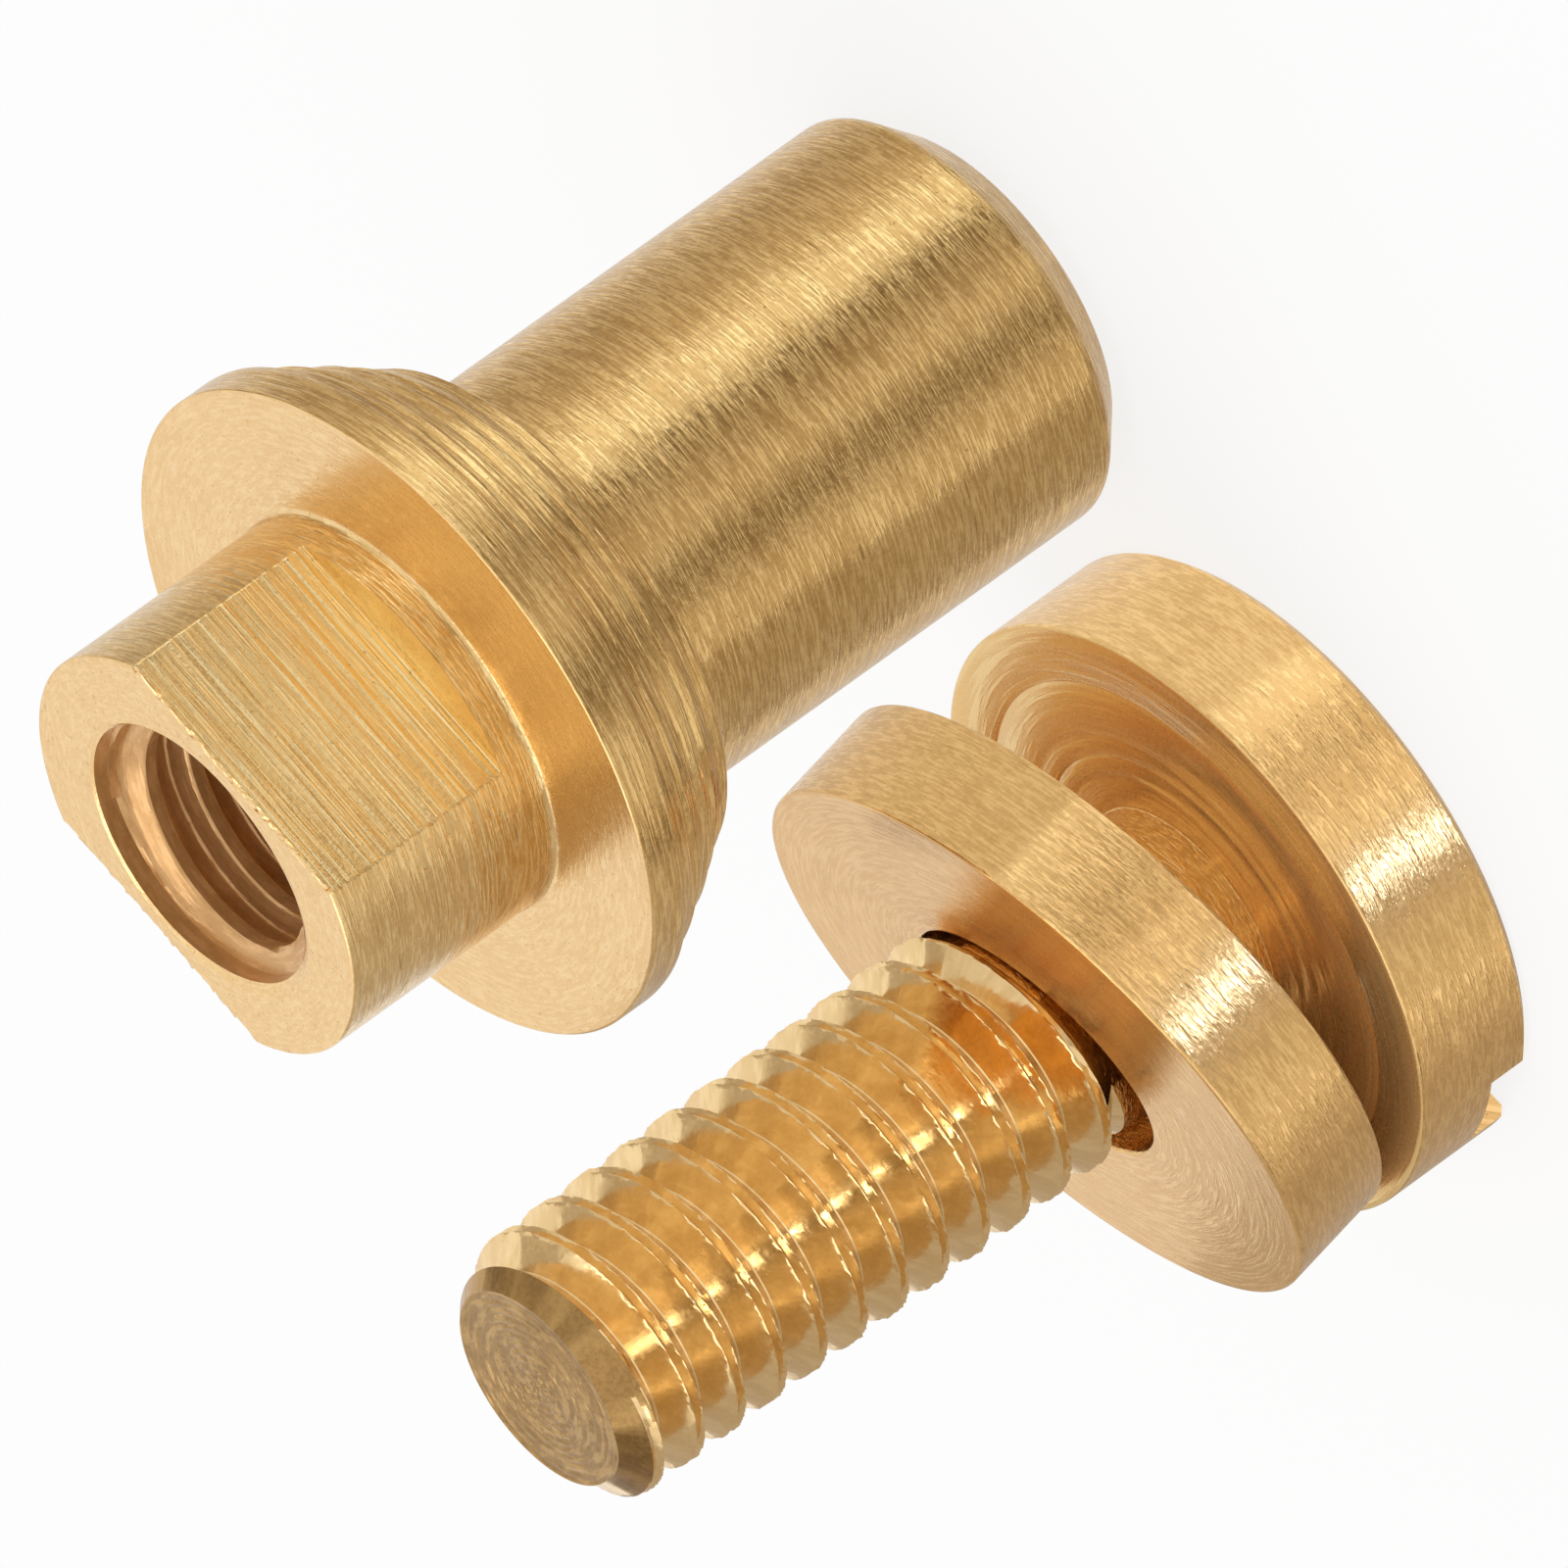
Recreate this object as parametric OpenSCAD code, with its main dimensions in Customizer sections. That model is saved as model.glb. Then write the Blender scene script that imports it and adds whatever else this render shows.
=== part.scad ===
// Neck screw of a saxophone, taken apart: a flanged tapped post, a slotted screw and its loose washer.
// Millimetres, +Z up. Both turned pieces stand upright on the floor at z = 0: the post on the end of its
// tail, the screw on its slotted head. The washer leans on the screw's neck as far as its hole lets it.

/* [Thread] */
// Major diameter of the thread
thread_d = 4; // [3:0.1:5]
// Pitch of the thread
thread_pitch = 0.75; // [0.5:0.05:0.8]
// Room between the tops of the outer and the inner thread, on the diameter
thread_play = 0.06; // [0.02:0.01:0.15]

/* [Post] */
// Length of the boss in front of the flange
boss_len = 3.65; // [3:0.05:5]
// Diameter of the boss
boss_d = 6.3; // [6:0.1:8]
// Distance across the two milled flats of the boss
flats_across = 4.75; // [4.7:0.05:5.8]
// Length of the flats, from the front of the boss
flats_len = 3.1; // [1:0.05:3.5]
// Direction that the visible flat faces, as a turn about the post
flats_turn = 296; // [0:1:359]
// Diameter of the flange
flange_d = 10.2; // [8.5:0.1:12]
// Width of the flange's plain rim
rim_w = 0.55; // [0.3:0.05:1.2]
// Length of the cone behind the rim
cone_len = 1.95; // [0.8:0.05:3]
// Diameter of the cone where it ends above the tail
cone_end_d = 7.75; // [7:0.05:8.4]
// Diameter of the tail
tail_d = 6.45; // [5.5:0.05:6.8]
// Length of the tail behind the cone
tail_len = 8.25; // [7:0.05:14]
// Chamfer at the end of the tail
tail_chamfer = 0.6; // [0.1:0.05:1]
// How much deeper the bore is than the screw's thread is long
bore_spare = 1.5; // [0.5:0.1:3]
// How far the countersink at the mouth of the bore reaches past the thread, on each side
countersink_w = 0.25; // [0.05:0.05:0.35]

/* [Screw] */
// Diameter of the head
head_d = 9.4; // [7:0.1:12]
// Thickness of the head
head_t = 2; // [1.2:0.05:4]
// Broken edge around the head
head_edge = 0.12; // [0.05:0.01:0.3]
// Width of the driving slot
slot_w = 1.6; // [0.8:0.1:2]
// Depth of the driving slot
slot_depth = 0.7; // [0.4:0.05:1]
// Direction of the slot, as a turn about the screw
slot_turn = 30; // [0:1:179]
// Length of the threaded part
thread_len = 8.5; // [5:0.1:10]
// Chamfer at the tip
tip_chamfer = 0.55; // [0.2:0.05:0.8]
// How much thinner the neck under the head is than the thread, on the diameter
neck_relief = 0.4; // [0.2:0.05:0.7]
// Spare length of the neck above the leaning washer
neck_spare = 0.1; // [0.05:0.05:1]

/* [Washer] */
// Outer diameter of the washer
washer_d = 9.55; // [8:0.05:11]
// Thickness of the washer
washer_t = 1.7; // [0.8:0.05:2.5]
// How much wider the hole is than the thread, on the diameter
hole_play = 0.2; // [0.1:0.05:0.5]
// Broken edges of the washer
washer_edge = 0.1; // [0.03:0.01:0.25]
// Gap left where the leaning washer touches the neck and the head
lean_gap = 0.03; // [0.01:0.01:0.1]
// Direction of the washer's low side, as a turn about the screw
lean_turn = 152; // [0:1:359]

/* [Layout] */
// Gap between the tail of the post and the washer
stand_gap = 0.65; // [0.2:0.05:5]

/* [Hidden] */
$fn = 96;
brass_turned = "#cfa45c";
brass_thread = "#c8923c";
brass_pale = "#dcb57c";

// Thread form: 60 degree flanks, a crest an eighth and a root a quarter of the pitch wide
thread_r = thread_d / 2;
thread_height = thread_pitch * sqrt(3) / 2 * 5 / 8;
root_r = thread_r - thread_height;
thread_sides = 36;

// Post, from the floor up
cone_z = tail_len;
rim_z = cone_z + cone_len;
flange_z = rim_z + rim_w;
boss_z = flange_z + boss_len;
bore_r = root_r + thread_play / 2;
bore_depth = thread_len + bore_spare;
countersink_r = thread_r + countersink_w;
countersink_depth = countersink_r - bore_r;
drill_point = bore_r / tan(59);
// How far a cut runs past the face that it opens
past = 0.5;

// The washer leans until the ends of its hole meet the neck on both sides
neck_d = thread_d - neck_relief;
hole_d = thread_d + hole_play;
lean = acos((neck_d + 2 * lean_gap) / norm([hole_d, washer_t])) - atan(washer_t / hole_d);
washer_r = washer_d / 2;
// The low side of the washer comes down on the head, or on the head's edge if the washer is wider
touch_r = min(washer_r * cos(lean) - washer_t / 2 * sin(lean), head_d / 2);
washer_z = head_t + lean_gap + washer_t / 2 * cos(lean) + (touch_r + washer_t / 2 * sin(lean)) * tan(lean);
lean_axis = [sin(lean) * cos(lean_turn), sin(lean) * sin(lean_turn), cos(lean)];

// Screw, from the floor up
neck_top_z = washer_z + washer_t / 2 * cos(lean) + hole_d / 2 * sin(lean) + neck_spare;
tip_z = neck_top_z + thread_len;
tip_r = thread_r - tip_chamfer;
// Overlap that welds the thread to the neck
weld = 0.3;
// Room around the crests inside the shape that trims the thread
trim_room = 0.1;

// Layout along X, with the box of all pieces centred on the origin
washer_reach = washer_r * sqrt(1 - pow(lean_axis[0], 2)) + washer_t / 2 * abs(lean_axis[0]);
screw_reach = max(washer_reach, head_d / 2);
spacing = tail_d / 2 + screw_reach + stand_gap;
post_x = (spacing + screw_reach - flange_d / 2) / 2;
screw_x = post_x - spacing;

// One thread form, as [radius, height] points over one pitch, from the foot of a ridge to its other foot
function ridge(r_low, r_high, pitch) = [
    [r_low, 0],
    [r_high, pitch * 5 / 16],
    [r_high, pitch * 7 / 16],
    [r_low, pitch * 3 / 4]
];

// A rod with a helical ridge: each ring of points rises by the pitch in one turn, and an apex closes each end
module helical_rod(r_low, r_high, pitch, z_low, turns) {
    form = ridge(r_low, r_high, pitch);
    feet = len(form);
    last = thread_sides * turns;
    points = concat(
        [for (i = [0 : last], p = form)
            let (a = 360 * i / thread_sides)
            [p[0] * cos(a), p[0] * sin(a), z_low + pitch * i / thread_sides + p[1]]],
        [[0, 0, z_low - pitch], [0, 0, z_low + pitch * (turns + 2)]]
    );
    low_apex = feet * (last + 1);
    high_apex = low_apex + 1;
    function at(i, k) = feet * i + k;
    ridge_faces = [for (i = [0 : last - 1], k = [0 : feet - 2])
        each [[at(i, k), at(i, k + 1), at(i + 1, k)], [at(i, k + 1), at(i + 1, k + 1), at(i + 1, k)]]];
    root_faces = [for (i = [0 : last - thread_sides - 1])
        let (a = at(i, feet - 1), b = at(i + 1, feet - 1))
        let (c = at(i + thread_sides, 0), d = at(i + thread_sides + 1, 0))
        each [[a, c, b], [c, d, b]]];
    low_loop = concat(
        [for (i = [0 : thread_sides]) at(i, 0)],
        [for (k = [feet - 1 : -1 : 1]) at(0, k)]
    );
    high_loop = concat(
        [for (i = [last - thread_sides : last]) at(i, feet - 1)],
        [for (k = [feet - 2 : -1 : 0]) at(last, k)]
    );
    low_faces = [for (j = [0 : len(low_loop) - 1])
        [low_apex, low_loop[j], low_loop[(j + 1) % len(low_loop)]]];
    high_faces = [for (j = [0 : len(high_loop) - 1])
        [high_apex, high_loop[(j + 1) % len(high_loop)], high_loop[j]]];
    polyhedron(points, concat(ridge_faces, root_faces, low_faces, high_faces), convexity = 20);
}

// Flanged post: tail, cone, rim and round boss turned in one piece, the boss milled flat on two sides
module threaded_post() {
    color(brass_turned)
    translate([post_x, 0, 0])
    difference() {
        rotate_extrude()
        polygon([
            [0, 0],
            [tail_d / 2 - tail_chamfer, 0],
            [tail_d / 2, tail_chamfer],
            [tail_d / 2, cone_z],
            [cone_end_d / 2, cone_z],
            [flange_d / 2, rim_z],
            [flange_d / 2, flange_z],
            [boss_d / 2, flange_z],
            [boss_d / 2, boss_z],
            [0, boss_z]
        ]);
        for (side = [0, 180])
            rotate([0, 0, flats_turn + side])
            translate([flats_across / 2, -boss_d / 2, boss_z - flats_len])
            cube([boss_d / 2, boss_d, flats_len + past]);
        translate([0, 0, boss_z])
        rotate_extrude()
        polygon([
            [0, -bore_depth - drill_point],
            [bore_r, -bore_depth],
            [bore_r, -countersink_depth],
            [countersink_r, 0],
            [countersink_r, past],
            [0, past]
        ]);
    }
}

// Screw thread, trimmed to a run-out above the neck and a chamfer at the tip
module screw_thread() {
    trim_r = thread_r + trim_room;
    inner_r = neck_d / 2 - trim_room;
    turns = ceil(thread_len / thread_pitch) + 3;
    intersection() {
        helical_rod(root_r, thread_r, thread_pitch, neck_top_z - 2 * thread_pitch, turns);
        rotate_extrude()
        polygon([
            [0, neck_top_z - weld],
            [inner_r, neck_top_z - weld],
            [inner_r, neck_top_z],
            [trim_r, neck_top_z + trim_r - inner_r],
            [trim_r, tip_z - trim_r + tip_r],
            [tip_r, tip_z],
            [0, tip_z]
        ]);
    }
}

// Slotted screw: head, neck and thread turned in one piece
module slotted_screw() {
    color(brass_thread)
    translate([screw_x, 0, 0]) {
        difference() {
            rotate_extrude()
            polygon([
                [0, 0],
                [head_d / 2 - head_edge, 0],
                [head_d / 2, head_edge],
                [head_d / 2, head_t - head_edge],
                [head_d / 2 - head_edge, head_t],
                [neck_d / 2, head_t],
                [neck_d / 2, neck_top_z],
                [0, neck_top_z]
            ]);
            rotate([0, 0, slot_turn])
            translate([-head_d / 2 - past, -slot_w / 2, -past])
            cube([head_d + 2 * past, slot_w, slot_depth + past]);
        }
        screw_thread();
    }
}

// Washer: a thick turned disc, leaning on the neck with its low side on the head
module washer() {
    color(brass_pale)
    translate([screw_x, 0, washer_z])
    rotate([0, lean, lean_turn])
    rotate_extrude()
    polygon([
        [hole_d / 2, -washer_t / 2],
        [washer_r - washer_edge, -washer_t / 2],
        [washer_r, -washer_t / 2 + washer_edge],
        [washer_r, washer_t / 2 - washer_edge],
        [washer_r - washer_edge, washer_t / 2],
        [hole_d / 2, washer_t / 2]
    ]);
}

threaded_post();
slotted_screw();
washer();
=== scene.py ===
import math

import bpy
import numpy as np
from mathutils import Matrix, Vector


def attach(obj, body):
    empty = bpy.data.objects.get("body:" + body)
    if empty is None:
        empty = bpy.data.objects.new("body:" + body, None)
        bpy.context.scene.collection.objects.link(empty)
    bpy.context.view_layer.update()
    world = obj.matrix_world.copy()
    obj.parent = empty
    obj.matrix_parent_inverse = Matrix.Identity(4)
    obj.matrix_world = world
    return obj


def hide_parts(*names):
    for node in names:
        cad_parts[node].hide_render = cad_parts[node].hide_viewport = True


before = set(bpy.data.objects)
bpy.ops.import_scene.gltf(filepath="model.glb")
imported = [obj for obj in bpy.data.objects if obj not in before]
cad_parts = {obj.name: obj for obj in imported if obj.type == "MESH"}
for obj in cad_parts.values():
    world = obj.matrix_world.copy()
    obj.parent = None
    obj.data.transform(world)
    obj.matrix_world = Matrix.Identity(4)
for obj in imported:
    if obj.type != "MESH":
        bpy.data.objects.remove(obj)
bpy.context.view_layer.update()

# Threaded post
# One round bar of brass, turned to a plain tail, a cone, a flange and a boss. The boss is milled flat on
# two sides, and a blind bore is drilled into its end, countersunk and tapped.
MM = 0.001
POST_X = 4.2336
TAIL_R = 3.225
TAIL_CHAMFER = 0.6
CONE_Z = 8.25
CONE_END_R = 3.875
RIM_Z = 10.2
FLANGE_Z = 10.75
FLANGE_R = 5.1
BOSS_R = 3.15
SHOULDER_Z = 11.3
BOSS_Z = 14.4
BOSS_EDGE = 0.05
FLAT_REACH = 2.375
FLAT_TURN = math.radians(296)
THREAD_PITCH = 0.75
BORE_R = 1.624
BORE_FLOOR_Z = 4.4
BORE_POINT = 0.976
SINK_R = 2.25
SINK_DEPTH = 0.07
SINK_LEAST = 0.2
SINK_TURN = math.radians(205)
MOUTH_R = 2.06
MOUTH_DEPTH = 0.3
MOUTH_EDGE = 0.03
TURNED, FACED, MILLED, THREADED, BOSS = range(5)


def turned_rows(corners, arc_steps=4, lead=1.4):
    """Rows of a turned outline. Each corner is (radius, height, ease, finish of the stretch after it).

    A corner with an ease is swapped for a quadratic curve that starts and ends that far from it. One more row
    lies a little further out on each side, so that the flat stretch next to it keeps its own direction.
    """
    spots = np.array([c[:2] for c in corners], float)
    rows, finish = [], []
    for i, (radius, height, ease, after) in enumerate(corners):
        before = corners[i - 1][3] if i else after
        if ease == 0:
            rows.append(spots[i])
            finish.append(after)
            continue
        back = spots[i - 1] - spots[i]
        ahead = spots[i + 1] - spots[i]
        back /= np.linalg.norm(back)
        ahead /= np.linalg.norm(ahead)
        t = np.linspace(0, 1, arc_steps + 1)[:, None]
        curve = spots[i] + ease * ((1 - t) ** 2 * back + t ** 2 * ahead)
        rows += [spots[i] + lead * ease * back, *curve, spots[i] + lead * ease * ahead]
        finish += [before] * (arc_steps // 2 + 1) + [after] * (arc_steps - arc_steps // 2 + 2)
    rows = np.array(rows)
    return rows[:, 0], rows[:, 1], np.array(finish)


def thread_rows(low, high, turn, phases, upward, pitch=THREAD_PITCH):
    """Heights and phases of a thread's rows between two levels, and the row that each meets across the seam.

    A row follows the helix: its height is its own offset plus the pitch times the share of a turn, kept
    between the two levels, so that the first and last rows are plain circles. The phase is the share of a
    pitch that a point lies above the helix.
    """
    per_pitch = len(phases)
    pitches = int(np.ceil((high - np.min(low)) / pitch)) + 2
    share = turn / (2 * np.pi)
    marks = np.asarray(phases) if upward else np.sort(1 - np.asarray(phases))
    offset = (np.arange(pitches)[:, None] + marks[None, :]).ravel()
    base = np.min(low) - pitch if upward else high
    sign = 1 if upward else -1
    height = np.clip(base + pitch * (sign * offset[:, None] + share[None, :]), low, high)
    phase = np.mod((height - base) / pitch - share[None, :], 1)
    row = np.arange(len(offset))
    far = np.minimum(row + per_pitch, row[-1]) if upward else np.maximum(row - per_pitch, 0)
    return height, phase, far


def skin(x, y, z, far_row=None, closed=True):
    """Points and triangles of a grid: each cell between two rows and two columns gives two triangles.

    On a closed grid the last column meets the first, row by row or as far_row says. Returns the points, the
    triangles, and the row and column of each triangle's cell.
    """
    rows, columns = x.shape
    points = np.stack([x, y, z], -1).reshape(-1, 3)
    number = np.arange(rows * columns).reshape(rows, columns)
    if closed:
        meets = number[:, 0] if far_row is None else number[far_row, 0]
        number = np.concatenate([number, meets[:, None]], axis=1)
    a, b = number[:-1, :-1], number[:-1, 1:]
    c, d = number[1:, 1:], number[1:, :-1]
    cells = np.stack([np.stack([a, b, c], -1), np.stack([a, c, d], -1)], 2)
    row, column = np.meshgrid(np.arange(cells.shape[0]), np.arange(cells.shape[1]), indexing="ij")
    return points, cells.reshape(-1, 3), np.repeat(row, 2), np.repeat(column, 2)


NO_AREA = 1e-9
SHARP_ANGLE = math.radians(32)


def make_piece(name, points, triangles, finish, materials, node):
    """A mesh piece from points in millimetres, with equal points made one and faces without area left out."""
    tidy, index = np.unique(np.round(points, 6), axis=0, return_inverse=True)
    corner = index.reshape(-1)[triangles]
    side_a = tidy[corner[:, 1]] - tidy[corner[:, 0]]
    side_b = tidy[corner[:, 2]] - tidy[corner[:, 0]]
    solid = np.linalg.norm(np.cross(side_a, side_b), axis=1) > NO_AREA
    corner = corner[solid]
    mesh = bpy.data.meshes.new(name)
    mesh.from_pydata((tidy * MM).tolist(), [], corner.tolist())
    for material in materials:
        mesh.materials.append(material)
    mesh.polygons.foreach_set("material_index", finish[solid].astype(np.int32))
    mesh.shade_smooth()
    mesh.set_sharp_from_angle(angle=SHARP_ANGLE)
    mesh.update()
    piece = bpy.data.objects.new(name, mesh)
    bpy.context.scene.collection.objects.link(piece)
    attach(piece, "root")
    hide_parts(node)
    return piece


class Wire:
    """A socket of a shader. An operator between wires and numbers adds the Math node that works it out."""

    def __init__(self, tree, socket):
        self.tree = tree
        self.socket = socket

    def node(self, kind, settings=None, values=None, out=0):
        """Adds a node of a kind, with its settings first and then its sockets' values or links."""
        made = self.tree.nodes.new(kind)
        for key, value in (settings or {}).items():
            if key == "stops":
                ramp = made.color_ramp.elements
                while len(ramp) < len(value):
                    ramp.new(1.0)
                for stop, (place, colour) in zip(ramp, value):
                    stop.position = place
                    stop.color = (*colour, 1.0)
            else:
                setattr(made, key, value)
        for key, value in (values or {}).items():
            if isinstance(value, Wire):
                self.tree.links.new(value.socket, made.inputs[key])
            else:
                made.inputs[key].default_value = value
        return Wire(self.tree, made.outputs[out])

    def out(self, name):
        """Another output of the node that this wire comes from."""
        return Wire(self.tree, self.socket.node.outputs[name])

    def into(self, node, name):
        """Links this wire to an input of a node."""
        self.tree.links.new(self.socket, node.inputs[name])

    def math(self, operation, a, b=0.0):
        """The result of one Math node."""
        return self.node("ShaderNodeMath", {"operation": operation}, {0: a, 1: b})

    def ease(self, low, high):
        """A smooth step: 0 up to the low value, 1 from the high value on."""
        return self.node(
            "ShaderNodeMapRange",
            {"interpolation_type": "SMOOTHSTEP"},
            {"Value": self, "From Min": low, "From Max": high},
        )

    def mix(self, first, second):
        """A colour between two others: the first where this wire is 0, the second where it is 1."""
        a, b = [end if isinstance(end, Wire) else (*end, 1.0) for end in (first, second)]
        return self.node("ShaderNodeMix", {"data_type": "RGBA"}, {"Factor": self, 6: a, 7: b}, out=2)

    def __add__(self, other):
        return self.math("ADD", self, other)

    def __radd__(self, other):
        return self.math("ADD", other, self)

    def __sub__(self, other):
        return self.math("SUBTRACT", self, other)

    def __rsub__(self, other):
        return self.math("SUBTRACT", other, self)

    def __mul__(self, other):
        return self.math("MULTIPLY", self, other)

    def __rmul__(self, other):
        return self.math("MULTIPLY", other, self)

    def __truediv__(self, other):
        return self.math("DIVIDE", self, other)

    def __pow__(self, other):
        return self.math("POWER", self, other)


def cut_brass(
    name, place, lean, pale, deep, around, along, rough, depth, pits, tears=0.0, straight=False, metal=1.0
):
    """Bare brass as a cutting tool leaves it.

    Noise that is stretched around the axis, or straight across it on a milled face, gives the tool lines,
    fine ones over broad ones, and a few dark dashes where the tool tore. A grain and small spots lie over
    them. All change the colour, between deep and pale, the roughness, and a bump of a depth in millimetres.
    The values around and along say how often the lines change around the axis and along it.
    """
    material = bpy.data.materials.new(name)
    material.use_nodes = True
    tree = material.node_tree
    shader = tree.nodes["Principled BSDF"]
    shader.inputs["Metallic"].default_value = metal
    start = Wire(tree, tree.nodes.new("ShaderNodeTexCoord").outputs["Object"])
    local = start.node(
        "ShaderNodeMapping",
        {"vector_type": "TEXTURE"},
        {"Vector": start, "Location": place, "Rotation": lean, "Scale": (MM, MM, MM)},
    )
    split = local.node("ShaderNodeSeparateXYZ", {}, {0: local})
    x, y, z = split, split.out("Y"), split.out("Z")
    radius = (x * x + y * y) ** 0.5
    if straight:
        lay = {0: x * around, 1: y * around, 2: z * along}
    else:
        lay = {0: x / radius * around, 1: y / radius * around, 2: (z + radius) * along}
    track = local.node("ShaderNodeCombineXYZ", {}, lay)

    def noise(vector, scale, detail, low, high):
        """Noise on a vector, as a smooth step between two of its values."""
        values = {"Vector": vector, "Scale": scale, "Detail": detail, "Roughness": 0.6}
        return vector.node("ShaderNodeTexNoise", {}, values).ease(low, high)

    lines = noise(track, 1.0, 2.0, 0.42, 0.64)
    broad = noise(track, 0.22, 2.0, 0.32, 0.68)
    grain = noise(local, 14.0, 2.0, 0.3, 0.7)
    cloud = noise(local, 0.9, 2.0, 0.3, 0.7)
    dash = noise(track, 0.6, 1.0, 0.68, 0.78) * tears
    pit = noise(local, 16.0, 2.0, 0.72 - pits, 0.82 - pits) + dash
    tone = lines * 0.55 + broad * 0.15 + grain * 0.2 + cloud * 0.1
    pitted = (deep[0] * 0.6, deep[1] * 0.55, deep[2] * 0.5)
    colour = (pit * 0.5).mix(tone.mix(deep, pale), pitted)
    colour.into(shader, "Base Color")
    roughness = rough + 0.1 * (0.5 - lines) + 0.06 * (grain - 0.5) + 0.12 * pit
    roughness.into(shader, "Roughness")
    height = lines + broad * 1.6 + grain * 0.15 - pit
    bump = height.node("ShaderNodeBump", {}, {"Height": height, "Strength": 1.0, "Distance": depth * MM})
    bump.into(shader, "Normal")
    return material


UPRIGHT = (0.0, 0.0, 0.0)
post_place = (POST_X * MM, 0.0, 0.0)
post_brass = [
    cut_brass(
        "post_turned", post_place, UPRIGHT, (1.0, 0.70, 0.30), (0.58, 0.34, 0.11),
        around=7.0, along=25.0, rough=0.13, depth=0.0055, pits=0.04, tears=1.0,
    ),
    cut_brass(
        "post_faced", post_place, UPRIGHT, (0.92, 0.66, 0.34), (0.80, 0.52, 0.23),
        around=14.0, along=18.0, rough=0.22, depth=0.0012, pits=0.11,
    ),
    cut_brass(
        "post_milled", post_place, UPRIGHT, (1.0, 0.79, 0.42), (0.88, 0.58, 0.22),
        around=0.4, along=16.0, rough=0.2, depth=0.011, pits=0.06, straight=True,
    ),
    # The tapped bore's brass is darker than the outside's and less metallic: its darker colour is painted
    # shade for the dim light inside the bore.
    cut_brass(
        "post_tapped_shade", post_place, UPRIGHT, (0.80, 0.47, 0.20), (0.56, 0.30, 0.10),
        around=3.0, along=8.0, rough=0.16, depth=0.002, pits=0.06, metal=0.4,
    ),
    cut_brass(
        "post_boss", post_place, UPRIGHT, (1.0, 0.74, 0.36), (0.68, 0.44, 0.17),
        around=7.0, along=24.0, rough=0.15, depth=0.0055, pits=0.04, tears=1.0,
    ),
]

# The columns stand at the corners of the flats and close together beside them
FLAT_COLUMNS = 60
ROUND_COLUMNS = 72
flat_half = math.acos(FLAT_REACH / BOSS_R)


def arc_columns(first, last, count):
    """Angles from first up to last, evenly spread, with two more close to each end to ease its corner."""
    near = np.radians([0.0, 0.35, 0.8])
    return np.concatenate([
        first + near,
        np.linspace(first + near[2] * 2, last - near[2] * 2, count),
        last - near[:0:-1],
    ])


flat_turn = FLAT_TURN - 2 * np.pi
post_turn = np.concatenate([
    arc_columns(flat_turn - flat_half, flat_turn + flat_half, FLAT_COLUMNS),
    arc_columns(flat_turn + flat_half, flat_turn - flat_half + np.pi, ROUND_COLUMNS),
    arc_columns(flat_turn + np.pi - flat_half, flat_turn + np.pi + flat_half, FLAT_COLUMNS),
    arc_columns(flat_turn + np.pi + flat_half, flat_turn - flat_half + 2 * np.pi, ROUND_COLUMNS),
])
facing = np.abs(np.cos(post_turn - flat_turn))
on_flat = facing > math.cos(flat_half) + 1e-6
chance = np.random.default_rng(7)

# Outside, from the middle of the tail's end up to the foot of the flats; the cone carries coarse rings
CONE_RINGS = 34
RING_DRIFT = 0.008
RING_SWING = 0.027
TAIL_END_EASE = 0.06
CHAMFER_EASE = 0.1
CONE_EASE = 0.05
FLANGE_EASE = 0.035
BOSS_FILLET = 0.11
ring_share = np.linspace(0, 1, CONE_RINGS + 2)[1:-1] + chance.uniform(-RING_DRIFT, RING_DRIFT, CONE_RINGS)
ring_swing = chance.normal(0, RING_SWING, CONE_RINGS)
cone_slope = np.array([FLANGE_R - CONE_END_R, RIM_Z - CONE_Z])
cone_out = np.array([cone_slope[1], -cone_slope[0]]) / np.linalg.norm(cone_slope)
ring_spots = np.array([CONE_END_R, CONE_Z]) + ring_share[:, None] * cone_slope
ring_spots = ring_spots + ring_swing[:, None] * cone_out
outside_r, outside_z, outside_finish = turned_rows([
    (0, 0, 0, FACED),
    (TAIL_R - TAIL_CHAMFER, 0, TAIL_END_EASE, TURNED),
    (TAIL_R, TAIL_CHAMFER, CHAMFER_EASE, TURNED),
    (TAIL_R, CONE_Z, CONE_EASE, FACED),
    (CONE_END_R, CONE_Z, CONE_EASE, TURNED),
    *[(r, z, 0, TURNED) for r, z in ring_spots],
    (FLANGE_R, RIM_Z, CONE_EASE, TURNED),
    (FLANGE_R, FLANGE_Z, FLANGE_EASE, FACED),
    (BOSS_R, FLANGE_Z, BOSS_FILLET, BOSS),
    (BOSS_R, SHOULDER_Z, 0, BOSS),
])
outside_r = np.repeat(outside_r[:, None], len(post_turn), axis=1)
outside_z = np.repeat(outside_z[:, None], len(post_turn), axis=1)

# Boss above the shoulder: the radius is the smaller of the round's and the flat's, and each cut of the flat
# has a reach of its own
FLAT_CUTS = 76
CUT_SWING = 0.004
LEAST_FACING = 0.2
cut_z = np.linspace(SHOULDER_Z, BOSS_Z - BOSS_EDGE, FLAT_CUTS)
cut_reach = FLAT_REACH + chance.normal(0, CUT_SWING, FLAT_CUTS)
flat_r = cut_reach[:, None] / np.maximum(facing, LEAST_FACING)[None, :]
boss_r = np.minimum(BOSS_R, flat_r)
boss_z = np.repeat(cut_z[:, None], len(post_turn), axis=1)

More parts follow.
